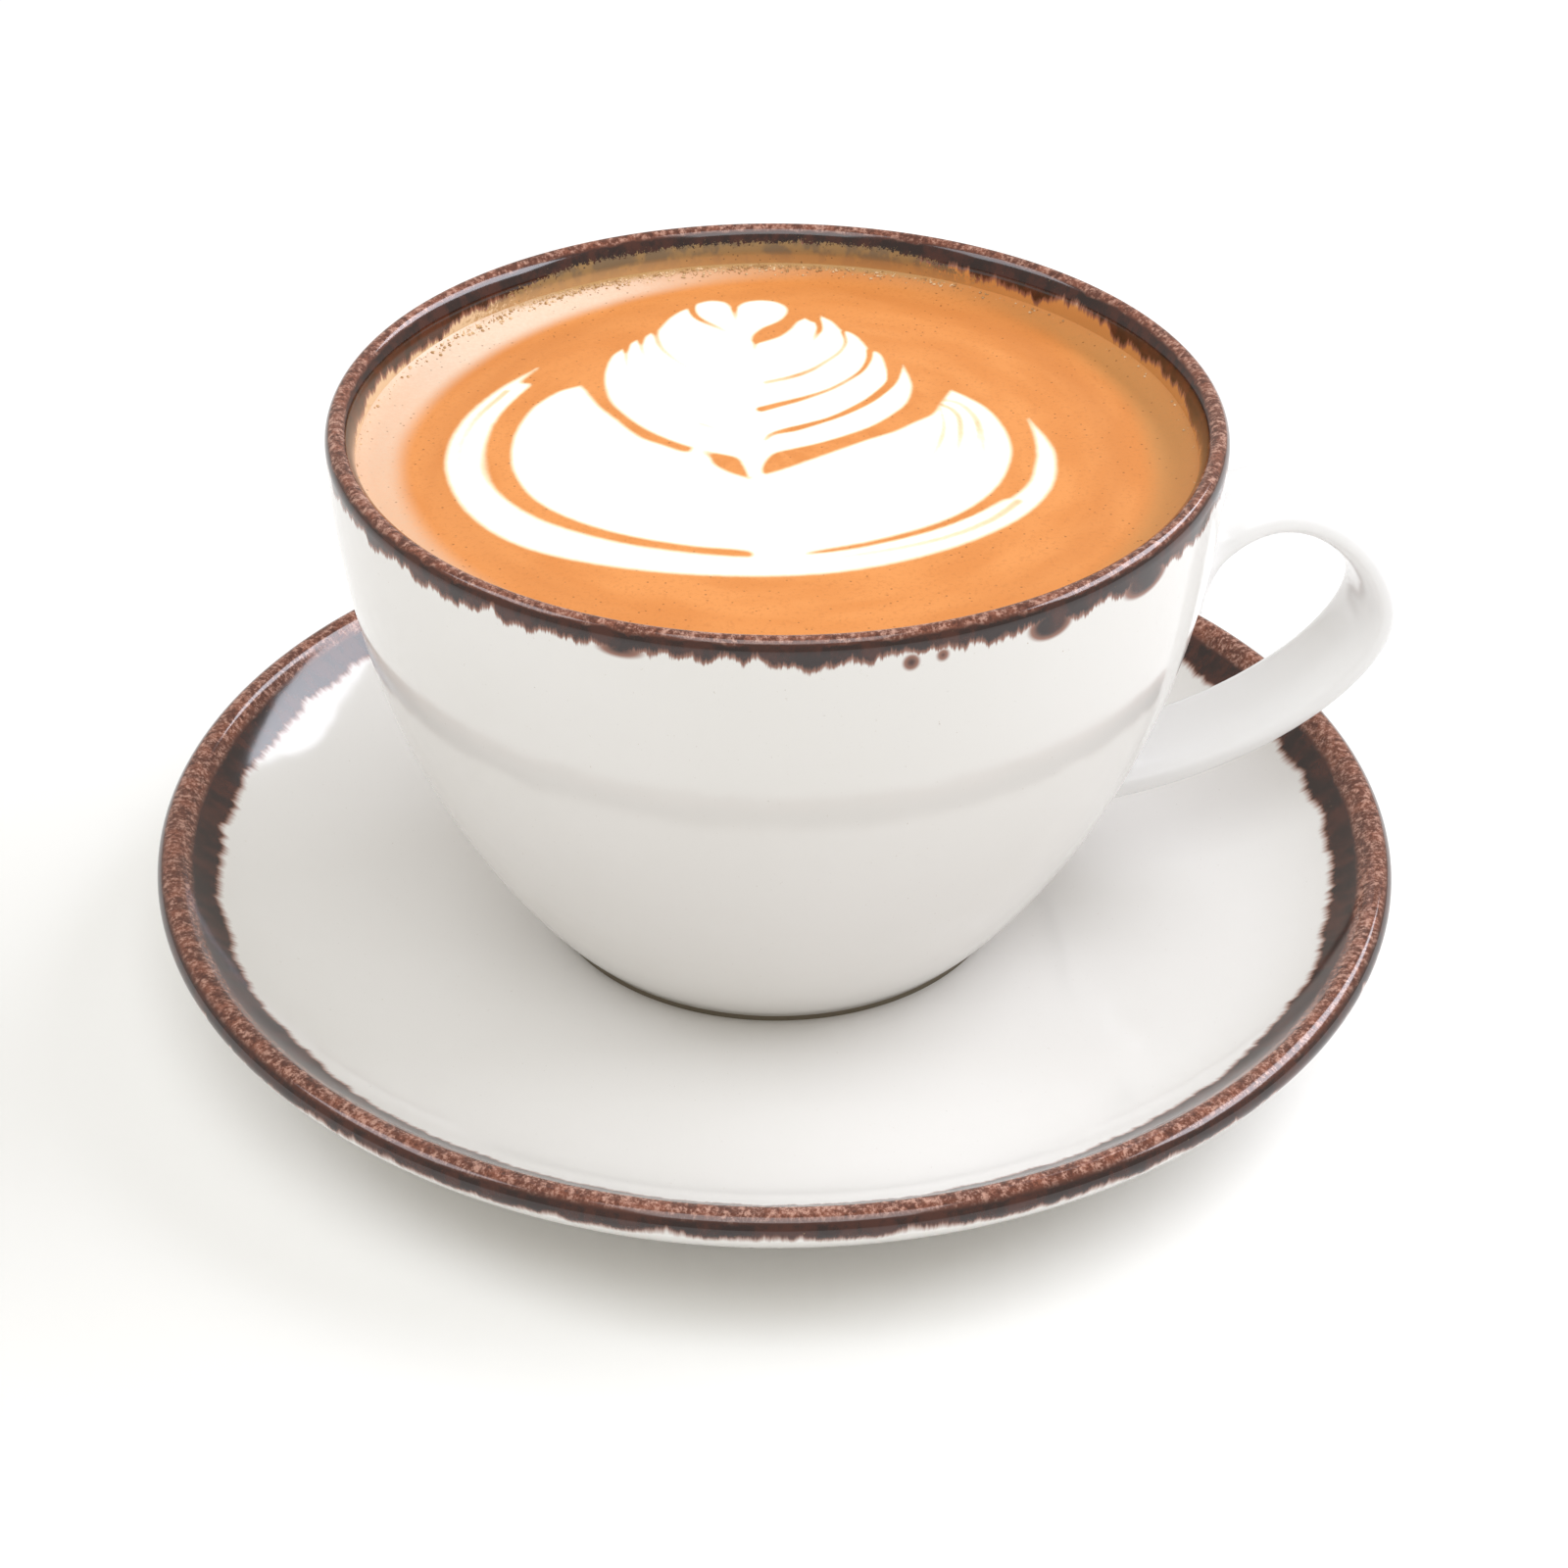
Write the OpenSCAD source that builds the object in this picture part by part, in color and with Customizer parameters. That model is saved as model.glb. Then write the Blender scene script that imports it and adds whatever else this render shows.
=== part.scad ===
// A large latte in a white glazed cup, standing on its saucer.
// Millimetres, +Z up. The origin is on the common axis of the cup and the saucer, in the
// plane that the saucer stands on, and the handle points along +X.

/* [Saucer] */
// Diameter over the rim
saucer_d = 160; // [136:1:192]
// Height of the rim above the table
saucer_h = 20; // [17:0.5:26]
// Thickness of the wall, which is also the thickness of the round rim
saucer_wall = 4; // [3:0.25:5]
// Height of the flat well that the cup stands on
well_h = 8.5; // [7.5:0.5:10.5]
// Radius of the flat well
well_r = 43; // [34:1:48]
// Slope of the upper side just inside the rim, in degrees
rim_slope = 47; // [35:1:60]
// Slope of the underside just below the rim, in degrees
under_slope = 56; // [45:1:65]
// Outer radius of the foot ring under the saucer
saucer_foot_r = 50; // [40:1:54]
// Width of that foot ring
saucer_foot_w = 5; // [4:0.5:8]

/* [Cup] */
// Diameter over the lip
cup_d = 108.5; // [92:0.5:130]
// Height from the foot to the top of the lip
cup_h = 70.4; // [58.6:0.2:84]
// Thickness of the wall, which is also the thickness of the round lip
cup_wall = 3.4; // [2.8:0.1:4.4]
// Diameter of the foot
cup_foot_d = 60; // [50:1:68]
// Width of the foot ring that touches the saucer
cup_foot_w = 4; // [3:0.5:7]
// Depth of the hollow inside the foot ring
cup_foot_hollow = 1.6; // [1:0.2:2.4]
// Height of the foot's straight outer edge, which has no glaze
cup_foot_edge = 0.75; // [0.4:0.05:1.2]
// Thickness of the floor, from the foot plane to the inside
cup_floor = 5.2; // [4.4:0.2:7]
// Slope of the wall where it leaves the foot, in degrees
wall_start_slope = 45; // [38:1:56]
// How much of the wall's height stays nearly upright below the lip
wall_upright = 0.58; // [0.45:0.01:0.66]

/* [Drink] */
// Depth of the drink's level below the top of the lip
level_drop = 5.9; // [4:0.1:20]

/* [Handle] */
// How far the handle stands out past the lip
handle_reach = 25.6; // [20:0.2:32]
// Width of the strap
handle_w = 14.5; // [11:0.5:18]
// Thickness of the strap
handle_t = 4.5; // [3.6:0.1:6]
// Height above the foot where the upper arm leaves the wall
upper_root_h = 46.3; // [40:0.1:54]
// Height above the foot where the lower arm leaves the wall
lower_root_h = 15; // [11:0.5:20]
// Height above the foot of the strap's outermost point
handle_side_h = 38.3; // [32:0.1:44]
// Climb of the upper arm where it leaves the wall, in degrees
upper_rise = 54.7; // [40:0.1:60]
// Share by which the strap widens towards its two roots
root_flare = 0.18; // [0:0.01:0.3]

/* [Hidden] */

white_glaze = "whitesmoke";
crema = "sandybrown";

// Saucer
rim_r = saucer_wall / 2;
rim_centre = [saucer_d / 2 - rim_r, saucer_h - rim_r];
saucer_floor_z = well_h - saucer_wall;
saucer_foot_round = 1;
saucer_foot_steps = 4;
dish_steps = 14;
rim_steps = 12;
// How far each end of the dish's two curves keeps its direction, as shares of their width
rim_pull = 0.2;
well_pull = 0.55;
under_pull = 0.3;
foot_pull = 0.5;

// Cup
lip_r = cup_wall / 2;
lip_centre = [cup_d / 2 - lip_r, cup_h - lip_r];
foot_edge = [cup_foot_d / 2, cup_foot_edge];
wall_top = [cup_d / 2, lip_centre.y];
wall_steps = 22;
// The first steps of the outer wall have the curved floor inside them
steps_below_floor = 7;
floor_steps = 10;
// Angle between neighbouring points round the lip
lip_step = 15;
// How far the wall's curve follows its first slope
wall_grip = 5;
// How far the inner floor stays flat, and how far its side stays steep, as shares
floor_flat = 0.55;
floor_steep = 0.8;

// Handle
section_sides = 24;
section_power = 2.6;
arm_steps = 16;
flare_power = 4;
upper_pull = 19.7;
side_pull_up = 8;
side_pull_down = 10;
lower_pull = 19;
lower_rise = 2;

// Point at a share t of the cubic curve from a to d that leaves towards b and arrives from c
function curve_at(a, b, c, d, t) =
    pow(1 - t, 3) * a + 3 * pow(1 - t, 2) * t * b + 3 * (1 - t) * t * t * c + pow(t, 3) * d;

// Direction of the same curve, as a unit vector
function curve_way(a, b, c, d, t) =
    unit(pow(1 - t, 2) * (b - a) + 2 * (1 - t) * t * (c - b) + t * t * (d - c));

function curve(a, b, c, d, steps) = [for (i = [0:steps]) curve_at(a, b, c, d, i / steps)];

function unit(v) = v / norm(v);

function polar(r, angle) = r * [cos(angle), sin(angle)];

function left_of(v) = [-v.y, v.x];

function flipped(list) = [for (i = [len(list) - 1:-1:0]) list[i]];

// Points on a round stretch, angles in degrees
function arc(centre, r, from, to, steps) =
    [for (i = [0:steps]) centre + polar(r, from + (to - from) * i / steps)];

// Radius of a wall line at height z, from its points [radius, height] in rising order
function radius_at(line, z) = lookup(z, [for (p = line) [p.y, p.x]]);

// ---- Lines of the cup, from the foot up, each point [radius, height above the foot] ----

wall_b = foot_edge + polar(wall_grip, wall_start_slope);
wall_c = wall_top - [0, wall_upright * (wall_top.y - foot_edge.y)];
outer_wall = curve(foot_edge, wall_b, wall_c, wall_top, wall_steps);

// The inner wall keeps the wall's thickness, measured square to the outer wall
inner_wall = [for (i = [steps_below_floor:wall_steps]) let (t = i / wall_steps)
    outer_wall[i] + cup_wall * left_of(curve_way(foot_edge, wall_b, wall_c, wall_top, t))];

floor_way = curve_way(foot_edge, wall_b, wall_c, wall_top,
    steps_below_floor / wall_steps);
floor_centre = [0, cup_floor];
floor_reach = inner_wall[0].x * floor_flat;
floor_pull = (inner_wall[0].y - cup_floor) * floor_steep;
floor_line = curve(floor_centre, floor_centre + [floor_reach, 0],
    inner_wall[0] - floor_pull * floor_way, inner_wall[0], floor_steps);

cavity_line = concat(floor_line, [for (i = [1:len(inner_wall) - 1]) inner_wall[i]]);

// ---- Saucer ----

module saucer() {
    upper_start = rim_centre + polar(rim_r, 90 + rim_slope);
    lower_start = rim_centre + polar(rim_r, under_slope - 90);
    well_edge = [well_r, well_h];
    under_edge = [saucer_foot_r, saucer_floor_z];
    upper_w = upper_start.x - well_r;
    lower_w = lower_start.x - saucer_foot_r;
    upper = curve(upper_start, upper_start - polar(rim_pull * upper_w, rim_slope),
        well_edge + [well_pull * upper_w, 0], well_edge, dish_steps);
    lower = curve(under_edge, under_edge + [foot_pull * lower_w, 0],
        lower_start - polar(under_pull * lower_w, under_slope), lower_start, dish_steps);
    foot_out = saucer_foot_r - saucer_foot_round;
    foot_in = saucer_foot_r - saucer_foot_w + saucer_foot_round;

    color(white_glaze) rotate_extrude($fn = 96) polygon(concat(
        [[0, saucer_floor_z], [foot_in - saucer_foot_round, saucer_floor_z]],
        arc([foot_in, saucer_foot_round], saucer_foot_round, 180, 270, saucer_foot_steps),
        arc([foot_out, saucer_foot_round], saucer_foot_round, 270, 360, saucer_foot_steps),
        lower,
        arc(rim_centre, rim_r, under_slope - 90, 90 + rim_slope, rim_steps),
        upper,
        [[0, well_h]]
    ));
}

// ---- Cup ----

// Half of the wall's thickness inside its outer line, where the handle's roots end
function mid_wall(z) = radius_at(outer_wall, z) - cup_wall / 2;

module bowl() {
    foot_in = cup_foot_d / 2 - cup_foot_w;
    rotate_extrude($fn = 96) polygon(concat(
        [[0, cup_foot_hollow], [foot_in - cup_foot_hollow, cup_foot_hollow], [foot_in, 0],
            [foot_edge.x, 0]],
        outer_wall,
        arc(lip_centre, lip_r, lip_step, 180 - lip_step, 180 / lip_step - 2),
        flipped(cavity_line)
    ));
}

// Middle line of the strap in its own plane, each point [distance from the axis, height]
upper_root = [radius_at(outer_wall, upper_root_h), upper_root_h];
lower_root = [radius_at(outer_wall, lower_root_h), lower_root_h];
side = [cup_d / 2 + handle_reach - handle_t / 2, handle_side_h];
upper_arm = curve(upper_root, upper_root + polar(upper_pull, upper_rise),
    side + [0, side_pull_up], side, arm_steps);
lower_arm = curve(side, side - [0, side_pull_down],
    lower_root + polar(lower_pull, lower_rise), lower_root, arm_steps);
strap_line = concat(upper_arm, [for (i = [1:arm_steps]) lower_arm[i]]);

// Direction of the strap's middle line at its point i
function strap_way(i) = let (last = len(strap_line) - 1)
    unit(strap_line[min(i + 1, last)] - strap_line[max(i - 1, 0)]);

// How far a superellipse of unit half size reaches along the axis whose cosine is c
function rounded(c) = sign(c) * pow(abs(c), 2 / section_power);

// Rounded section of the strap at point i, as points [x, y, z]
function strap_section(i) =
    let (last = len(strap_line) - 1, toward_root = abs(2 * i / last - 1),
        flare = 1 + root_flare * pow(toward_root, flare_power), across = left_of(strap_way(i)))
    [for (k = [0:section_sides - 1]) let (angle = 360 * k / section_sides,
        p = strap_line[i] + across * handle_t / 2 * flare * rounded(sin(angle)))
        [p.x, handle_w / 2 * flare * rounded(cos(angle)), p.y]];

// The same points moved along X into the middle of the bowl's wall
function rooted(points) =
    [for (p = points) [sqrt(pow(mid_wall(p.z), 2) - p.y * p.y), p.y, p.z]];

function mean(points, i = 0) =
    i == len(points) ? [0, 0, 0] : points[i] / len(points) + mean(points, i + 1);

module handle() {
    last = len(strap_line) - 1;
    rings = concat([rooted(strap_section(0))], [for (i = [0:last]) strap_section(i)],
        [rooted(strap_section(last))]);
    caps = [rooted([mean(rings[0])])[0], rooted([mean(rings[len(rings) - 1])])[0]];
    first_cap = len(rings) * section_sides;
    faces = concat(
        [for (r = [0:len(rings) - 2], k = [0:section_sides - 1]) let (a = r * section_sides + k,
            b = r * section_sides + (k + 1) % section_sides)
            each [[a, b + section_sides, b], [a, a + section_sides, b + section_sides]]],
        [for (k = [0:section_sides - 1]) [first_cap, k, (k + 1) % section_sides]],
        [for (k = [0:section_sides - 1]) let (start = first_cap - section_sides)
            [first_cap + 1, start + (k + 1) % section_sides, start + k]]
    );
    polyhedron(points = concat([for (ring = rings) each ring], caps), faces = faces);
}

module cup() {
    color(white_glaze) translate([0, 0, well_h]) {
        bowl();
        handle();
    }
}

// ---- Drink, which fills the bowl up to its level ----

module coffee() {
    level = cup_h - level_drop;
    below = [for (p = cavity_line) if (p.y < level) p];
    color(crema) translate([0, 0, well_h]) rotate_extrude($fn = 96) polygon(concat(
        below, [[radius_at(cavity_line, level), level], [0, level]]));
}

saucer();
cup();
coffee();
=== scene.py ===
"""A large latte in its glazed cup on its saucer: the looks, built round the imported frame.

Lengths are in millimetres until a mesh is written, which turns them into metres. Round pieces
are lathed from one outline, the handle is a section carried along a curve, and the drink's
top is a disc whose foam drawing is worked out from strokes and leaf outlines.
"""

import logging
import math
from dataclasses import dataclass
from typing import Union

import bpy
import numpy as np
from mathutils import Matrix, Vector


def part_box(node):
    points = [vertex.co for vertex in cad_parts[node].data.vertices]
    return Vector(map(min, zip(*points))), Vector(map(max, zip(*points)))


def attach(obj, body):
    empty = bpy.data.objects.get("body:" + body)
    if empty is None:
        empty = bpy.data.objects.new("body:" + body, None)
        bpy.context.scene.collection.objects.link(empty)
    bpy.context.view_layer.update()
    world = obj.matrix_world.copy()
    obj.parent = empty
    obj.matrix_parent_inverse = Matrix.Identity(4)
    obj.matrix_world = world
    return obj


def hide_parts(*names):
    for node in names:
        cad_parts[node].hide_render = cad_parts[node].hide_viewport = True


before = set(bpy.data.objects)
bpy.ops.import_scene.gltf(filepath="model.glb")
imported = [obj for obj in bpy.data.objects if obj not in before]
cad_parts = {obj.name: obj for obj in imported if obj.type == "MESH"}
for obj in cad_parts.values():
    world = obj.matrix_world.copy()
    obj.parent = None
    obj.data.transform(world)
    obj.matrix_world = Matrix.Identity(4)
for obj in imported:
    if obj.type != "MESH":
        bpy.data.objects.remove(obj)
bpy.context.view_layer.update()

MM = 0.001
LOG = logging.getLogger("latte")
# Degrees from +X to the view's right.
VIEW_TURN = -8.4
# The foam film on the wall at angles from the view's right: how much of it there is, and the
# run from the rim's crest at which it starts.
FILM_ANGLES = (-180, 50, 62, 75, 122, 135, 150, 180)
FILM_SHARES = (0, 0, 0.6, 1, 1, 0.7, 0.2, 0)
FILM_STARTS = (4, 4, 3.2, 2.4, 2.6, 3.6, 4.4, 4)
Array = np.ndarray
Triple = tuple[float, float, float]
Colour = tuple[float, float, float, float]


# ---------------------------------------------------------------- curves and surfaces


def unit(vectors: Array) -> Array:
    """Scales each vector in the last axis to length one."""
    return vectors / np.linalg.norm(vectors, axis=-1, keepdims=True)


def polar(length: float, degrees: float) -> Array:
    """The point at that distance and angle from the origin, in a plane."""
    return length * np.array([math.cos(math.radians(degrees)), math.sin(math.radians(degrees))])


def bezier(a: Array, b: Array, c: Array, d: Array, shares: Array) -> Array:
    """Points of a cubic curve from a to d that leaves towards b and arrives from c.

    The formula is (1-t)^3 a + 3 (1-t)^2 t b + 3 (1-t) t^2 c + t^3 d for each share t.

    Args:
        a, b, c, d: the four control points.
        shares: values of t from 0 to 1.

    Returns:
        One point for each share.
    """
    t = shares[:, None]
    return (1 - t) ** 3 * a + 3 * (1 - t) ** 2 * t * b + 3 * (1 - t) * t * t * c + t**3 * d


def arc(centre: Array, radius: float, start: float, stop: float, count: int) -> Array:
    """Points on a round stretch between two angles in degrees."""
    angles = np.radians(np.linspace(start, stop, count))
    return centre + radius * np.stack([np.cos(angles), np.sin(angles)], axis=1)


def tangents(points: Array) -> Array:
    """Unit directions along a line of points, from the difference of its neighbours."""
    return unit(np.gradient(points, axis=0))


def lengths(points: Array) -> Array:
    """Length along a line of points, from its first point to each."""
    steps = np.linalg.norm(np.diff(points, axis=0), axis=1)
    return np.concatenate([[0.0], np.cumsum(steps)])


def smoothstep(low: float, high: float, value: Array) -> Array:
    """Rises from 0 at low to 1 at high as 3 t^2 - 2 t^3."""
    t = np.clip((value - low) / (high - low), 0, 1)
    return t * t * (3 - 2 * t)


def strips(rows: int, columns: int, closed: bool = True) -> Array:
    """Quads between neighbouring rows of points.

    Args:
        rows: number of rows.
        columns: points in each row.
        closed: whether each row is a ring, whose last point joins its first.

    Returns:
        Rows of four point numbers, where point j of row i has the number i columns + j.
    """
    i, j = np.meshgrid(np.arange(rows - 1), np.arange(columns - (not closed)), indexing="ij")
    k, here, above = (j + 1) % columns, i * columns, (i + 1) * columns
    return np.stack([here + j, here + k, above + k, above + j], -1).reshape(-1, 4)


def fan(ring: Array, apex: int) -> Array:
    """Triangles from each side of a closed ring of point numbers to the apex."""
    return np.stack([ring, np.roll(ring, -1), np.full(len(ring), apex)], -1)


def stand(name: str, data: bpy.types.ID) -> bpy.types.Object:
    """Puts a new object with that data in the scene, at the origin.

    Args:
        name: the object's name.
        data: its mesh, light or camera.

    Returns:
        The object.
    """
    thing = bpy.data.objects.new(name, data)
    bpy.context.scene.collection.objects.link(thing)
    return thing


@dataclass
class Surface:
    """A mesh in the making: points in millimetres, faces as index rows, values per point."""

    points: Array
    quads: Array
    triangles: Array
    values: dict[str, Array]

    def to_object(self, name: str, sharp_degrees: float = 40) -> bpy.types.Object:
        """Writes the surface as a smooth mesh object in metres.

        Args:
            name: the piece's name.
            sharp_degrees: edges that bend more than this stay sharp.

        Returns:
            The new object, which sits at the origin.
        """
        mesh = bpy.data.meshes.new(name)
        faces = [*self.triangles.tolist(), *self.quads.tolist()]
        mesh.from_pydata((self.points * MM).tolist(), [], faces)
        for key, value in self.values.items():
            kind, field = ("FLOAT", "value") if value.ndim == 1 else ("FLOAT_VECTOR", "vector")
            layer = mesh.attributes.new(key, kind, "POINT")
            layer.data.foreach_set(field, value.astype(np.float32).ravel())
        mesh.shade_smooth()
        mesh.set_sharp_from_angle(angle=math.radians(sharp_degrees))
        mesh.validate()
        return stand(name, mesh)


def lathe(outline: Array, sides: int, values: dict[str, Array]) -> Surface:
    """Turns an outline round the Z axis.

    A point [r, z] of the outline becomes (r cos a, r sin a, z) at each of the angles a. The
    outline runs so that the outside is on its right.

    Args:
        outline: points [radius, height], the first and last with radius 0.
        sides: number of angles round the axis.
        values: one value for each point of the outline, kept for the shader.

    Returns:
        The closed surface.
    """
    ring = outline[1:-1]
    angles = np.linspace(0, 2 * np.pi, sides, endpoint=False)
    x = ring[:, :1] * np.cos(angles)
    y = ring[:, :1] * np.sin(angles)
    z = np.broadcast_to(ring[:, 1:], x.shape)
    poles = np.array([[0, 0, outline[0, 1]], [0, 0, outline[-1, 1]]])
    points = np.concatenate([np.stack([x, y, z], axis=-1).reshape(-1, 3), poles])
    first = np.arange(sides)
    last = first + (len(ring) - 1) * sides
    triangles = np.concatenate([fan(first[::-1], len(points) - 2), fan(last, len(points) - 1)])
    kept = {key: np.concatenate([np.repeat(value[1:-1], sides), value[[0, -1]]])
            for key, value in values.items()}
    return Surface(points, strips(len(ring), sides), triangles, kept)


def rim_track(surface: Surface, run: Array, radius: float) -> Array:
    """A seamless pattern position: a turn round the rim, and the run along the wall.

    Args:
        surface: the lathed piece.
        run: length along the wall from the crest of the rim, for each point.
        radius: radius at which the turn is measured.

    Returns:
        Vectors (radius cos a, radius sin a, run), where a is the angle round the axis.
    """
    flat = surface.points[:, :2]
    way = flat / np.maximum(np.linalg.norm(flat, axis=1, keepdims=True), 1e-6)
    return np.concatenate([way * radius, run[:, None]], axis=1)


def art_points(points: Array) -> Array:
    """Turns places on the table so that the view's right is the first axis.

    Args:
        points: places, of which x and y are read.

    Returns:
        The turned x and y of each.
    """
    turn = math.radians(-VIEW_TURN)
    x, y = points[:, 0], points[:, 1]
    return np.stack([x * math.cos(turn) - y * math.sin(turn),
                     x * math.sin(turn) + y * math.cos(turn)], axis=1)


def art_angle(points: Array) -> Array:
    """Angle from the view's right, in degrees from -180 to 180."""
    flat = art_points(points)
    return np.degrees(np.arctan2(flat[:, 1], flat[:, 0]))


def tan_share(around: Array) -> Array:
    """How far the froth at the wall turns from cream, at the left, to tan, at the right."""
    return np.interp(around, (-180, -130, -70, 60, 88, 112, 180), (0.1, 0.4, 1, 1, 0.6, 0, 0.1))


# ---------------------------------------------------------------- shader graphs

Term = Union["Socket", float]
Tone = Union["Socket", Colour]


@dataclass(frozen=True)
class Socket:
    """A value in a shader, whose arithmetic adds Math nodes."""

    graph: "Graph"
    out: bpy.types.NodeSocket

    def __add__(self, other: Term) -> "Socket":
        """Sum."""
        return self.graph.math("ADD", self, other)

    def __sub__(self, other: Term) -> "Socket":
        """Difference."""
        return self.graph.math("SUBTRACT", self, other)

    def __rsub__(self, other: Term) -> "Socket":
        """Difference from a number."""
        return self.graph.math("SUBTRACT", other, self)

    def __mul__(self, other: Term) -> "Socket":
        """Product."""
        return self.graph.math("MULTIPLY", self, other)

    __radd__ = __add__
    __rmul__ = __mul__


class Graph:
    """The node tree of one material."""

    def __init__(self, name: str) -> None:
        """Starts an empty material of that name.

        Args:
            name: the material's name.
        """
        self.material = bpy.data.materials.new(name)
        self.material.use_nodes = True
        self.tree = self.material.node_tree
        self.tree.nodes.clear()

    def add(self, kind: str, settings: dict | None = None,
            inputs: dict | None = None) -> bpy.types.Node:
        """Adds one node.

        Args:
            kind: the node's type, without its ShaderNode prefix.
            settings: the node's own properties, set first.
            inputs: values or sockets by input name or number.

        Returns:
            The node.
        """
        node = self.tree.nodes.new("ShaderNode" + kind)
        for key, value in (settings or {}).items():
            setattr(node, key, value)
        for key, value in (inputs or {}).items():
            if isinstance(value, Socket):
                self.tree.links.new(value.out, node.inputs[key])
            else:
                node.inputs[key].default_value = value
        return node

    def result(self, kind: str, settings: dict | None = None, inputs: dict | None = None,
               output: int | str = 0) -> Socket:
        """Adds one node as add does, and returns one of its outputs."""
        return Socket(self, self.add(kind, settings, inputs).outputs[output])

    def math(self, operation: str, *terms: Term) -> Socket:
        """Adds a Math node for the operation on the terms."""
        return self.result("Math", {"operation": operation}, dict(enumerate(terms)))

    def value(self, name: str) -> Socket:
        """Reads a value that the mesh holds for each point."""
        return self.result("Attribute", {"attribute_name": name}, output="Fac")

    def vector(self, name: str) -> Socket:
        """Reads a vector that the mesh holds for each point."""
        return self.result("Attribute", {"attribute_name": name}, output="Vector")

    def place(self) -> Socket:
        """The place on the piece, in millimetres."""
        return self.scaled(self.result("TexCoord", output="Object"), (1 / MM, 1 / MM, 1 / MM))

    def scaled(self, vector: Socket, factors: Triple) -> Socket:
        """Multiplies a vector by a factor on each axis."""
        return self.result("VectorMath", {"operation": "MULTIPLY"}, {0: vector, 1: factors})

    def shifted(self, vector: Socket, amounts: Triple) -> Socket:
        """Adds a fixed vector."""
        return self.result("VectorMath", {"operation": "ADD"}, {0: vector, 1: amounts})

    def length(self, vector: Socket) -> Socket:
        """The length of a vector."""
        return self.result("VectorMath", {"operation": "LENGTH"}, {0: vector}, "Value")

    def noise(self, vector: Socket, size: float, detail: float = 2, rough: float = 0.5) -> Socket:
        """Soft noise from 0 to 1, with features about size millimetres apart."""
        return self.result("TexNoise", None, {
            "Vector": vector, "Scale": 1 / size, "Detail": detail, "Roughness": rough,
        })

    def cells(self, vector: Socket, size: float) -> Socket:
        """Distance to the nearest of many scattered points, in cells of that size."""
        return self.result("TexVoronoi", None, {"Vector": vector, "Scale": 1 / size}, "Distance")

    def rise(self, value: Term, low: Term, high: Term) -> Socket:
        """Smooth step from 0 at low to 1 at high."""
        return self.result("MapRange", {"interpolation_type": "SMOOTHSTEP"}, {
            "Value": value, "From Min": low, "From Max": high,
        })

    def blend(self, share: Term, start: Tone, end: Tone) -> Socket:
        """Mixes two colours: start at share 0, end at share 1."""
        return self.result("Mix", {"data_type": "RGBA"}, {0: share, 6: start, 7: end}, 2)

    def bump(self, height: Socket, millimetres: float) -> Socket:
        """A normal tilted as by relief of that height."""
        return self.result("Bump", None, {
            "Height": height, "Distance": millimetres * MM, "Strength": 1,
        })

    def finish(self, **inputs: Tone | float) -> bpy.types.Material:
        """Ends the tree in a Principled shader.

        Args:
            inputs: its sockets by name, with underscores for spaces.

        Returns:
            The material.
        """
        shader = self.result("BsdfPrincipled", None, {
            key.replace("_", " "): value for key, value in inputs.items()
        })
        self.add("OutputMaterial", None, {0: shader})
        return self.material


def linear(red: float, green: float, blue: float) -> Colour:
    """Turns a display colour into linear light.

    With s = channel / 255 it is s / 12.92 up to s = 0.04045, and ((s + 0.055) / 1.055)^2.4 above.

    Args:
        red, green, blue: the display colour's channels, from 0 to 255.

    Returns:
        The light's channels from 0 to 1, and 1 for opaque.
    """
    shares = np.array([red, green, blue]) / 255
    light = np.where(shares <= 0.04045, shares / 12.92, ((shares + 0.055) / 1.055) ** 2.4)
    return (*light.tolist(), 1.0)


# ---------------------------------------------------------------- finishes


@dataclass(frozen=True)
class Spot:
    """A place where the brown glaze ran further: an oval on the wall near the rim.

    angle is in degrees round the rim, seen from above, from the camera's right. run is the
    middle's length along the wall from the crest, positive inwards.
    """

    angle: float
    run: float
    half_width: float
    half_length: float


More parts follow.
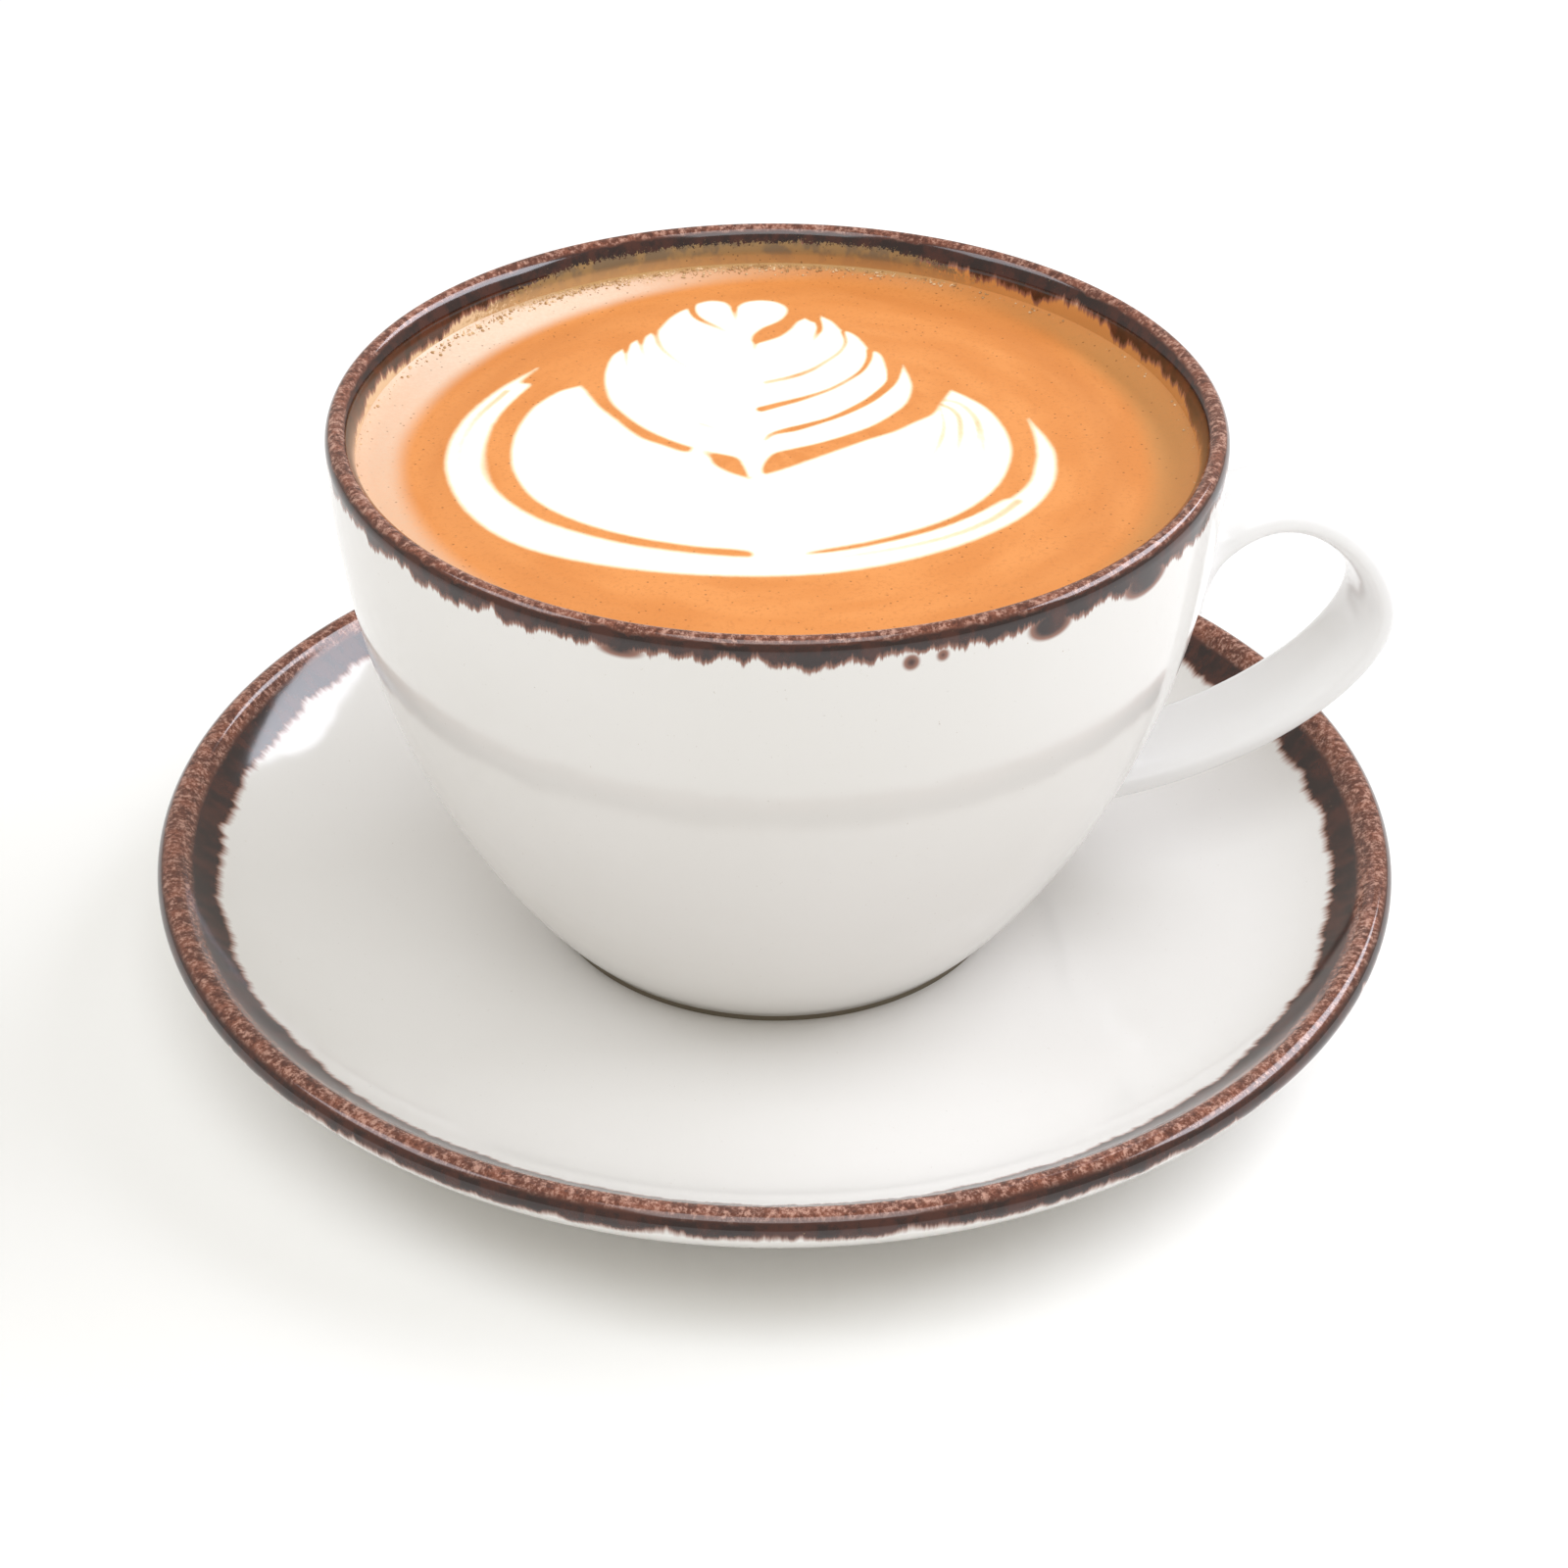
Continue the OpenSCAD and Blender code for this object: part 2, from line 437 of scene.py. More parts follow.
@dataclass(frozen=True)
class RimGlaze:
    """White glaze whose rim carries a brown glaze that has run into ragged drips.

    outer_run and inner_run are how far the brown reaches from the crest on each side, and
    ragged scales how much that varies. crest is the half width of its thin, mottled stretch,
    whose pale streaks are partly pale glaze and partly painted highlight, crest_middle the
    run of that stretch's middle, and soft the half width of the brown's edge. relief is the
    height of the surface's waves. Lengths are in millimetres.
    """

    name: str
    radius: float
    outer_run: float
    inner_run: float
    crest: float
    crest_middle: float
    ragged: float
    soft: float
    spots: tuple[Spot, ...] = ()
    white: Colour = linear(236, 234, 230)
    cream: Colour = linear(239, 237, 234)
    dark: Colour = linear(40, 22, 19)
    warm: Colour = linear(72, 36, 26)
    fringe: Colour = linear(152, 106, 88)
    crest_brown: Colour = linear(104, 58, 43)
    crest_warm: Colour = linear(134, 78, 58)
    # Pale streaks on the crest: partly pale glaze, partly painted highlight.
    crest_pale_and_highlight: Colour = linear(214, 168, 149)
    stain: Colour = linear(240, 212, 172)
    tan: Colour = linear(214, 156, 92)
    film: Colour = linear(158, 130, 84)
    film_dark: Colour = linear(126, 108, 80)
    film_pale: Colour = linear(228, 180, 124)
    clay: Colour = linear(112, 102, 84)
    roughness: float = 0.11
    relief: float = 0.06

    def drips(self, g: Graph, track: Socket) -> Socket:
        """How much further than its mean the brown runs, in millimetres.

        Broad and middle swells and the thin drips are soft noise, drawn out along the wall.
        The wider drips are domes 1 - d^2 about scattered points, with narrow valleys between.

        Args:
            g: the material's graph.
            track: the pattern position.

        Returns:
            The extra run at each place.
        """
        along = g.scaled(track, (1, 1, 0.14))
        broad = g.noise(along, 17, 1)
        patch = g.noise(g.shifted(along, (0, 0, 40)), 5.5, 2)
        wide = g.cells(g.shifted(along, (0, 0, 80)), 2.4)
        thin = g.noise(g.shifted(along, (3, 0, 120)), 1.1, 3, 0.8)
        swell = (broad - 0.5) * 4.0 + (patch - 0.5) * 5.0
        return (swell + 0.7 - wide * wide * 1.5 + (thin - 0.5) * 3.6) * self.ragged

    def spotted(self, g: Graph, track: Socket) -> Socket:
        """Depth inside the nearest spot, above 0 where there is one.

        Args:
            g: the material's graph.
            track: the pattern position.

        Returns:
            The depth in millimetres.
        """
        depth = None
        for spot in self.spots:
            angle = math.radians(spot.angle + VIEW_TURN)
            middle = (self.radius * math.cos(angle), self.radius * math.sin(angle), spot.run)
            offset = g.scaled(g.shifted(track, tuple(-part for part in middle)),
                              (1 / spot.half_width, 1 / spot.half_width, 1 / spot.half_length))
            here = (1 - g.length(offset)) * min(spot.half_width, spot.half_length)
            depth = here if depth is None else g.math("MAXIMUM", depth, here)
        return depth

    def brown_tone(self, g: Graph, track: Socket, run: Socket, left: Socket) -> Socket:
        """The brown's colour: dark where thick, pale in its fringe, mottled on the crest, with
        painted highlight in its pale streaks.

        Args:
            g: the material's graph.
            track: the pattern position.
            run: length along the wall from the crest.
            left: depth inside the brown, measured from its edge.

        Returns:
            The colour.
        """
        deep = g.rise(left, 0.1, 0.9)
        streaks = g.noise(g.scaled(track, (1, 1, 0.9)), 0.8, 3, 0.8)
        clouds = g.noise(g.scaled(track, (1, 1, 0.6)), 2.6, 2)
        thick = g.rise(streaks * 0.3 + clouds * 0.7, 0.62, 0.42)
        tone = g.blend(deep, self.fringe, g.blend(thick, self.warm, self.dark))
        off_crest = g.math("ABSOLUTE", run - self.crest_middle)
        wander = off_crest + (clouds - 0.5) * 1.4 + (streaks - 0.5) * 1.0
        on_crest = g.rise(wander, self.crest, self.crest * 0.6)
        tone = g.blend(on_crest, tone, g.blend(thick, self.crest_warm, self.crest_brown))
        # Pale streaks on the crest: partly pale glaze, partly painted highlight.
        pale = g.rise(streaks, 0.47, 0.67) * on_crest
        tone = g.blend(pale * 0.7, tone, self.crest_pale_and_highlight)
        burnt = g.rise(streaks, 0.47, 0.36) * on_crest
        return g.blend(burnt * 0.7, tone, self.warm)

    def white_tone(self, g: Graph) -> Socket:
        """The white's colour, which is warm where the drink has stained it.

        Args:
            g: the material's graph.

        Returns:
            The colour.
        """
        white = g.blend(g.noise(g.place(), 25, 2), self.white, self.cream)
        stain = g.blend(g.value("tan"), self.stain, self.tan)
        return g.blend(g.value("stained"), white, stain)

    def film_tone(self, g: Graph, track: Socket) -> Socket:
        """The colour of the foam film on the wall: mottled, with dark pores, wet at the drink.

        Args:
            g: the material's graph.
            track: the pattern position.

        Returns:
            The colour.
        """
        mottled = g.noise(g.shifted(track, (0, 9, 0)), 2.4, 2, 0.65)
        film = g.blend(g.rise(mottled, 0.42, 0.6), self.film_dark, self.film)
        film = g.blend(g.value("damp"), film, g.blend(g.value("tan"), self.film_pale, self.tan))
        pores = g.rise(g.cells(track, 0.8), 0.2, 0.1) * g.rise(mottled, 0.45, 0.6)
        return g.blend(pores * 0.6, film, self.dark)

    def material(self) -> bpy.types.Material:
        """Builds the material: where the brown and the film end, their tones, and the gloss.

        Returns:
            The material.
        """
        g = Graph(self.name)
        track = g.vector("track")
        run = g.result("SeparateXYZ", None, {0: track}, "Z")
        inner = g.math("GREATER_THAN", run, 0.0)
        limit = inner * (self.inner_run - self.outer_run) + self.outer_run
        left = limit + self.drips(g, track) - g.math("ABSOLUTE", run)
        if self.spots:
            left = g.math("MAXIMUM", left, self.spotted(g, track))
        brown = g.rise(left, -self.soft, self.soft)
        glaze = g.blend(brown, self.white_tone(g), self.brown_tone(g, track, run, left))
        frayed = (g.noise(track, 0.5, 3, 0.85) - 0.5) * 2.2
        film = g.rise(g.value("film") + frayed, 0.4, 0.62)
        bare = g.value("bare")
        colour = g.blend(bare, g.blend(film, glaze, self.film_tone(g, track)), self.clay)
        rough = g.math("MAXIMUM", bare * 0.7, film * 0.3 + self.roughness)
        waves = g.noise(g.place(), 7, 1) * 0.8 + brown * 0.2
        return g.finish(Base_Color=colour, Roughness=rough, Normal=g.bump(waves, self.relief),
                        IOR=1.62)


@dataclass(frozen=True)
class Crema:
    """The drink's top: orange crema, white foam, a paler ring at the wall, and a band of painted
    shade inside it.
    """

    deep: Colour = linear(223, 141, 72)
    bright: Colour = linear(233, 153, 84)
    # Darker orange for the band of painted shade inside the ring, and for the crema's grain.
    painted_shade_and_grain: Colour = linear(206, 128, 65)
    pale: Colour = linear(244, 221, 198)
    tan: Colour = linear(208, 150, 88)
    olive: Colour = linear(196, 156, 102)
    cream: Colour = linear(252, 226, 186)
    foam: Colour = linear(250, 248, 243)
    speck: Colour = linear(130, 70, 28)

    def material(self) -> bpy.types.Material:
        """Builds the material from the values that the mesh holds.

        Returns:
            The material.
        """
        g = Graph("crema")
        place = g.place()
        milk = g.value("milk") + (g.noise(place, 1.2, 3, 0.7) - 0.5) * 0.22
        grain = g.noise(place, 0.55, 3, 0.75)
        swirl = g.noise(g.vector("swirl"), 4.5, 2)
        crema = g.blend(g.rise(swirl, 0.3, 0.7), self.deep, self.bright)
        # Painted shade: a darker band inside the pale ring, strongest at the back right.
        crema = g.blend(g.value("painted_shade_and_grain") * 0.7, crema, self.painted_shade_and_grain)
        # Grain: random spots in the same darker orange.
        crema = g.blend(g.rise(grain, 0.5, 0.68) * 0.45, crema, self.painted_shade_and_grain)
        froth = g.blend(g.value("tan"), self.pale, self.tan)
        crema = g.blend(g.value("ring") * (0.7 + grain * 0.5), crema, froth)
        olive = g.value("olive") + (g.noise(place, 0.6, 3, 0.7) - 0.5) * 0.7
        crema = g.blend(g.rise(olive, 0.3, 0.95), crema, self.olive)
        crowd = g.noise(g.scaled(place, (1, 1, 0)), 7, 2)
        holes = g.rise(g.cells(place, 1.15), 0.16, 0.08) * g.rise(crowd, 0.36, 0.56)
        crema = g.blend(holes * 0.6, crema, self.speck)
        thin = g.blend(g.rise(milk, 0.05, 0.6), crema, self.cream)
        colour = g.blend(g.rise(milk, 0.5, 0.9), thin, self.foam)
        wet = 0.36 - g.value("ring") * 0.06
        relief = grain * 0.8 - holes * 0.4 + milk * 0.3
        return g.finish(Base_Color=colour, Roughness=wet, IOR=1.33, Normal=g.bump(relief, 0.03))


@dataclass(frozen=True)
class BubbleFilm:
    """Thin wet bubbles in the froth."""

    pale: Colour = linear(236, 202, 158)
    brown: Colour = linear(188, 146, 98)

    def material(self) -> bpy.types.Material:
        """Builds the material, pale on most bubbles and brown on some.

        Returns:
            The material.
        """
        g = Graph("froth")
        shade = g.rise(g.noise(g.place(), 1.4, 1), 0.4, 0.6)
        return g.finish(Base_Color=g.blend(shade, self.brown, self.pale), Roughness=0.15, IOR=1.33)


# ---------------------------------------------------------------- saucer


@dataclass
class Saucer:
    """The saucer: a flat well, a steep upturned wall and a round rim.

    The wall's upper and under sides are curves. Their pulls are how strongly each follows its
    direction at its start and at its end, as shares of its width.
    """

    diameter: float
    height: float
    wall: float = 4.0
    well_height: float = 8.5
    well_radius: float = 43.0
    rim_slope: float = 47.0
    under_slope: float = 56.0
    foot_radius: float = 50.0
    foot_width: float = 5.0
    foot_round: float = 1.0
    upper_pulls: tuple[float, float] = (0.2, 0.55)
    under_pulls: tuple[float, float] = (0.5, 0.3)
    sides: int = 360

    def outline(self) -> tuple[Array, Array]:
        """The section from the axis below, round the rim, to the axis above.

        Returns:
            The points, and each point's run along the wall from the crest.
        """
        radius = self.wall / 2
        centre = np.array([self.diameter / 2 - radius, self.height - radius])
        floor = self.well_height - self.wall
        upper_start = centre + polar(radius, 90 + self.rim_slope)
        lower_start = centre + polar(radius, self.under_slope - 90)
        in_span = upper_start[0] - self.well_radius
        out_span = lower_start[0] - self.foot_radius
        shares = np.linspace(0, 1, 48)
        pulls = in_span * np.array(self.upper_pulls)
        upper = bezier(upper_start, upper_start - polar(pulls[0], self.rim_slope),
                       np.array([self.well_radius + pulls[1], self.well_height]),
                       np.array([self.well_radius, self.well_height]), shares)
        pulls = out_span * np.array(self.under_pulls)
        lower = bezier(np.array([self.foot_radius, floor]),
                       np.array([self.foot_radius + pulls[0], floor]),
                       lower_start - polar(pulls[1], self.under_slope), lower_start, shares)
        bend = self.foot_round
        foot_in = self.foot_radius - self.foot_width + bend
        points = np.concatenate([
            [[0, floor], [foot_in - bend, floor]],
            arc(np.array([foot_in, bend]), bend, 180, 270, 6),
            arc(np.array([self.foot_radius - bend, bend]), bend, 270, 360, 6),
            lower,
            arc(centre, radius, self.under_slope - 90, 90 + self.rim_slope, 26)[1:-1],
            upper,
            [[30, self.well_height], [0, self.well_height]],
        ])
        along = lengths(points)
        crest = along[np.argmax(points[:, 1])]
        return points, along - crest

    def build(self) -> bpy.types.Object:
        """Builds and dresses the saucer.

        Returns:
            The piece.
        """
        points, run = self.outline()
        plain = dict.fromkeys(("bare", "stained", "film", "damp", "tan"), np.zeros(len(run)))
        surface = lathe(points, self.sides, {"run": run, **plain})
        surface.values["track"] = rim_track(surface, surface.values.pop("run"), self.diameter / 2)
        piece = surface.to_object("saucer_dish")
        glaze = RimGlaze("saucer_glaze", self.diameter / 2, outer_run=3.8, inner_run=7.2,
                         crest=2.6, crest_middle=0.8, ragged=0.5, soft=0.65)
        piece.data.materials.append(glaze.material())
        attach(piece, "root")
        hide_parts("saucer")
        return piece


# ---------------------------------------------------------------- cup


@dataclass
class Bowl:
    """The cup's bowl: a foot ring, a curved wall of even thickness and a round lip.

    roll is how far below the top the lip's inner side starts to curve over, and crest_in how
    far the crest lies inside the outer wall. The outer wall's steps below floor_steps have the
    floor inside them, which the inner wall reaches in a curve of its own.
    """

    radius: float
    base: float
    top: float
    wall: float = 3.4
    foot_radius: float = 30.0
    foot_width: float = 4.0
    foot_hollow: float = 1.6
    foot_edge: float = 0.75
    floor: float = 5.2
    start_slope: float = 45.0
    grip: float = 5.0
    upright: float = 0.58
    roll: float = 3.2
    crest_in: float = 1.3
    floor_steps: int = 19
    floor_reach: float = 0.55
    floor_pull: float = 0.8
    sides: int = 480
    spots: tuple[Spot, ...] = (
        Spot(-74.5, -4.2, 0.95, 1.0), Spot(-70.7, -3.9, 0.7, 0.75),
        Spot(-56.5, -3.6, 3.0, 1.9), Spot(-40.5, -3.6, 4.2, 2.1),
        Spot(-108, -3.2, 2.6, 1.0), Spot(94, 2.6, 2.4, 1.8), Spot(93, 3.8, 1.0, 1.4),
    )

    def outer(self) -> Array:
        """The outer wall from the foot up.

        Returns:
            Points [radius, height].
        """
        foot = np.array([self.foot_radius, self.base + self.foot_edge])
        top = np.array([self.radius, self.top - self.wall / 2])
        rise = np.array([0, self.upright * (top[1] - foot[1])])
        return bezier(foot, foot + polar(self.grip, self.start_slope), top - rise, top,
                      np.linspace(0, 1, 61))

    def inner(self) -> Array:
        """The inside from the middle of the floor up to the lip.

        Returns:
            Points [radius, height].
        """
        outer = self.outer()
        way = tangents(outer)
        offset = outer + self.wall * np.stack([-way[:, 1], way[:, 0]], axis=1)
        way, offset = way[self.floor_steps:], offset[self.floor_steps:]
        centre = np.array([0, self.base + self.floor])
        reach = np.array([offset[0, 0] * self.floor_reach, 0])
        pull = (offset[0, 1] - centre[1]) * self.floor_pull
        floor = bezier(centre, centre + reach, offset[0] - pull * way[0], offset[0],
                       np.linspace(0, 1, 22))
        return np.concatenate([floor[:-1], offset])

    def outer_radius(self, height: Array) -> Array:
        """Radius of the outer wall at a height."""
        outer = self.outer()
        return np.interp(height, outer[:, 1], outer[:, 0])

    def inner_radius(self, height: Array) -> Array:
        """Radius of the inner wall at a height."""
        inner = self.inner()
        return np.interp(height, inner[:, 1], inner[:, 0])

    def outline(self) -> tuple[Array, Array, Array]:
        """The whole section from the axis below to the axis inside.

        Returns:
            The points, each point's run from the crest, and where the clay is bare.
        """
        foot_in = self.foot_radius - self.foot_width
        crest = np.array([self.radius - self.crest_in, self.top])
        outer, inner = self.outer(), self.inner()
        inner = inner[inner[:, 1] < self.top - self.roll]
        quarter = np.radians(np.linspace(0, 90, 18))[:, None]
        ellipse = np.concatenate([np.cos(quarter), 1 - np.sin(quarter)], 1)
        outer_lip, inner_lip = (crest + (end[-1] - crest) * ellipse for end in (outer, inner))
        hollow = self.base + self.foot_hollow
        foot = np.array([
            [0, hollow], [foot_in - self.foot_hollow, hollow], [foot_in, self.base],
            [self.foot_radius, self.base], [self.foot_radius, self.base + self.foot_edge - 0.03],
            [self.foot_radius, self.base + self.foot_edge],
        ])
        points = np.concatenate([foot, outer[1:-1], outer_lip, inner_lip[-2::-1], inner[-2::-1]])
        along = lengths(points)
        crest = along[np.argmax(points[:, 1])]
        bare = np.zeros(len(points))
        bare[2:5] = 1
        return points, along - crest, bare

    def build(self) -> bpy.types.Object:
        """Builds and dresses the bowl.

        Returns:
            The piece.
        """
        points, run, bare = self.outline()
        surface = lathe(points, self.sides, {"run": run, "bare": bare})
        run = surface.values.pop("run")
        surface.values["track"] = rim_track(surface, run, self.radius)
        surface.values["stained"] = smoothstep(2.5, 3.5, run)
        around = art_angle(surface.points)
        share = np.interp(around, FILM_ANGLES, FILM_SHARES)
        start = np.interp(around, FILM_ANGLES, FILM_STARTS)
        surface.values["film"] = smoothstep(start - 0.7, start + 1.3, run) * share
        surface.values["damp"] = smoothstep(3.9, 5.4, run)
        surface.values["tan"] = tan_share(around)
        piece = surface.to_object("cup_bowl")
        glaze = RimGlaze("cup_glaze", self.radius, outer_run=3.3, inner_run=4.4, crest=1.4,
                         crest_middle=0.1, ragged=0.8, soft=0.28, spots=self.spots)
        piece.data.materials.append(glaze.material())
        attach(piece, "root")
        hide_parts("cup")
        return piece


@dataclass
class Handle:
    """The strap handle: a rounded flat section carried along an ear-shaped curve.

    Each *_pull is how strongly the curve follows its direction at the upper root, at the
    outermost point, above and below, and at the lower root; upper_rise and lower_rise are the
    directions at the roots, in degrees. root_depth is how far the ends run on into the wall.
    """

    bowl: Bowl
    reach: float
    width: float = 14.5
    thickness: float = 4.5
    upper_root: float = 46.3
    lower_root: float = 15.0
    side_height: float = 38.3
    upper_rise: float = 54.7
    lower_rise: float = 2.0
    upper_pull: float = 19.7
    above_pull: float = 8.0
    below_pull: float = 10.0
    lower_pull: float = 19.0
    flare: float = 0.18
    fillet: float = 4.0
    rings: int = 150
    sides: int = 56
    power: float = 2.6
    root_depth: float = 2.2

    def middle_line(self) -> Array:
        """The strap's middle line, in the plane through the cup's axis.

        Returns:
            Points [distance from the axis, height].
        """
        base = self.bowl.base
        upper, lower = (np.array([float(self.bowl.outer_radius(base + root)), base + root])
                        for root in (self.upper_root, self.lower_root))
        side = np.array([self.reach - self.thickness / 2, base + self.side_height])
        shares = np.linspace(0, 1, 400)
        first = bezier(upper, upper + polar(self.upper_pull, self.upper_rise),
                       side + [0, self.above_pull], side, shares)
        second = bezier(side, side - [0, self.below_pull],
                        lower + polar(self.lower_pull, self.lower_rise), lower, shares)
        line = np.concatenate([first, second[1:]])
        start = line[0] - self.root_depth * unit(line[1] - line[0])
        stop = line[-1] + self.root_depth * unit(line[-1] - line[-2])
        line = np.concatenate([[start], line, [stop]])
        along = lengths(line)
        ends = 0.5 - 0.5 * np.cos(np.linspace(0, np.pi, self.rings))
        spots = along[-1] * (0.6 * ends + 0.4 * np.linspace(0, 1, self.rings))
        return np.stack([np.interp(spots, along, line[:, k]) for k in (0, 1)], axis=1)

    def surface(self) -> Surface:
        """The closed strap.

        A ring is a superellipse |u/a|^p + |v/b|^p = 1 across the middle line. Near the bowl
        every point moves outwards by fillet (1 - d/fillet)^2.5, where d is its distance
        from the wall, so the strap spreads into the wall.

        Returns:
            The closed surface.
        """
        line = self.middle_line()
        way = tangents(line)
        across = np.stack([-way[:, 1], way[:, 0]], axis=1)
        toward_root = np.abs(np.linspace(-1, 1, len(line)))
        flare = 1 + self.flare * toward_root**4
        angles = np.linspace(0, 2 * np.pi, self.sides, endpoint=False)
        circle = np.stack([np.cos(angles), np.sin(angles)])
        ring = np.sign(circle) * np.abs(circle) ** (2 / self.power)
        side = flare[:, None] * self.width / 2 * ring[0]
        lift = flare[:, None] * self.thickness / 2 * ring[1]
        out = line[:, None] + across[:, None] * lift[..., None]
        distance = np.hypot(out[..., 0], side) - self.bowl.outer_radius(out[..., 1])
        spread = self.fillet * np.clip(1 - distance / self.fillet, 0, 1) ** 2.5
        side = side + spread * np.cos(angles)
        out = out + across[:, None] * (spread * np.sin(angles))[..., None]
        points = np.stack([out[..., 0], side, out[..., 1]], axis=-1)
        middle_wall = self.bowl.outer_radius(points[..., 2]) - self.bowl.wall / 2
        radial = np.hypot(points[..., 0], points[..., 1])
        deep = radial < middle_wall
        push = np.sqrt(np.maximum(middle_wall**2 - points[..., 1] ** 2, 0))
        points[..., 0] = np.where(deep, push, points[..., 0])
        caps = np.stack([points[0].mean(0), points[-1].mean(0)])
        flat = points.reshape(-1, 3)
        quads = strips(len(line), self.sides)[:, [0, 3, 2, 1]]
        first = np.arange(self.sides)
        last = first + (len(line) - 1) * self.sides
        triangles = np.concatenate([fan(first, len(flat)), fan(last[::-1], len(flat) + 1)])
        return Surface(np.concatenate([flat, caps]), quads, triangles, {})

    def build(self) -> bpy.types.Object:
        """Builds the handle and dresses it in the frame's own plain white glaze.

        Returns:
            The piece.
        """
        piece = self.surface().to_object("cup_handle", sharp_degrees=60)
        piece.data.materials.append(bpy.data.materials["cup_glaze"])
        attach(piece, "root")
        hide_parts("cup")
        return piece


# ---------------------------------------------------------------- foam drawing

Line = tuple[tuple[float, float], ...]


def through(points: Line, steps: int = 8) -> Array:
    """A smooth curve through all of the points.

    Between points b and c, with neighbours a and d, it is the cubic whose tangents at b and
    c are (c - a) / 2 and (d - b) / 2.

    Args:
        points: the points that the curve passes.
        steps: steps between two of them.

    Returns:
        Points along the curve.
    """
    knots = np.array(points, dtype=float)
    padded = np.concatenate([[2 * knots[0] - knots[1]], knots, [2 * knots[-1] - knots[-2]]])
    t = np.linspace(0, 1, steps, endpoint=False)[:, None]
    pieces = []
    for a, b, c, d in zip(padded, padded[1:], padded[2:], padded[3:]):
        pieces.append(b + 0.5 * t * (c - a) + t**2 * (a - 2.5 * b + 2 * c - 0.5 * d)
                      + t**3 * (1.5 * (b - c) + 0.5 * (d - a)))
    return np.concatenate([*pieces, knots[-1:]])


def nearest(points: Array, line: Array) -> tuple[Array, Array]:
    """Distance from each point to a line, and how far along the line its nearest spot is.

    Args:
        points: the places to measure from.
        line: the line's points, in order.

    Returns:
        For each place the distance, and the share of the line's length up to the nearest spot.
    """
    start, step = line[:-1], np.diff(line, axis=0)
    size = np.maximum((step**2).sum(1), 1e-12)
    offset = points[:, None] - start
    share = np.clip((offset * step).sum(-1) / size, 0, 1)
    gap = np.linalg.norm(offset - share[..., None] * step, axis=-1)
    best = gap.argmin(axis=1)
    rows = np.arange(len(points))
    along = lengths(line)
    place = along[best] + share[rows, best] * np.sqrt(size)[best]
    return gap[rows, best], place / along[-1]


def inside(points: Array, outline: Array) -> Array:
    """True where a ray along +X crosses the closed outline an odd number of times.

    Args:
        points: the places to test.
        outline: the outline's points, in order.

    Returns:
        One truth value for each place.
    """
    start, end = outline, np.roll(outline, -1, axis=0)
    x, y = points[:, :1], points[:, 1:]
    spans = (start[:, 1] > y) != (end[:, 1] > y)
    rise = np.where(end[:, 1] == start[:, 1], 1, end[:, 1] - start[:, 1])
    cross = start[:, 0] + (y - start[:, 1]) * (end[:, 0] - start[:, 0]) / rise
    return (spans & (x < cross)).sum(1) % 2 == 1


@dataclass(frozen=True)
class Patch:
    """A closed area of foam. Its sides are curves, each starting where the last one ended."""

    sides: tuple[Line, ...]
    foam: float = 1.0
    soft: float = 0.6

    def paint(self, points: Array, cover: Array) -> None:
        """Lays the area over the foam cover, fading over its soft edge.

        Args:
            points: the places on the drink.
            cover: the foam at each place, which is changed.
        """
        starts = [(), *(side[-1:] for side in self.sides)]
        outline = np.concatenate([through(start + side) for start, side in zip(starts, self.sides)])
        low, high = outline.min(0) - self.soft, outline.max(0) + self.soft
        near = np.flatnonzero(((points >= low) & (points <= high)).all(1))
        gap = nearest(points[near], np.concatenate([outline, outline[:1]]))[0]
        depth = np.where(inside(points[near], outline), gap, -gap)
        share = smoothstep(-self.soft, self.soft, depth)
        cover[near] += share * (self.foam - cover[near])


@dataclass(frozen=True)
class Streak:
    """A drawn line whose width and strength change evenly from knot to knot.

    Its cover is gain times its strength, at most 1.
    """

    line: Line
    widths: tuple[float, ...]
    strengths: tuple[float, ...]
    foam: float = 0.0
    soft: float = 0.35
    gain: float = 1.35

    def paint(self, points: Array, cover: Array) -> None:
        """Draws the line over the foam cover.

        Args:
            points: the places on the drink.
            cover: the foam at each place, which is changed.
        """
        curve = through(self.line)
        margin = max(self.widths) / 2 + self.soft
        low, high = curve.min(0) - margin, curve.max(0) + margin
        near = np.flatnonzero(((points >= low) & (points <= high)).all(1))
        gap, place = nearest(points[near], curve)
        width = np.interp(place, np.linspace(0, 1, len(self.widths)), self.widths)
        strength = np.interp(place, np.linspace(0, 1, len(self.strengths)), self.strengths)
        share = smoothstep(self.soft, -self.soft, gap - width / 2)
        share *= np.minimum(1, self.gain * strength)
        cover[near] += share * (self.foam - cover[near])


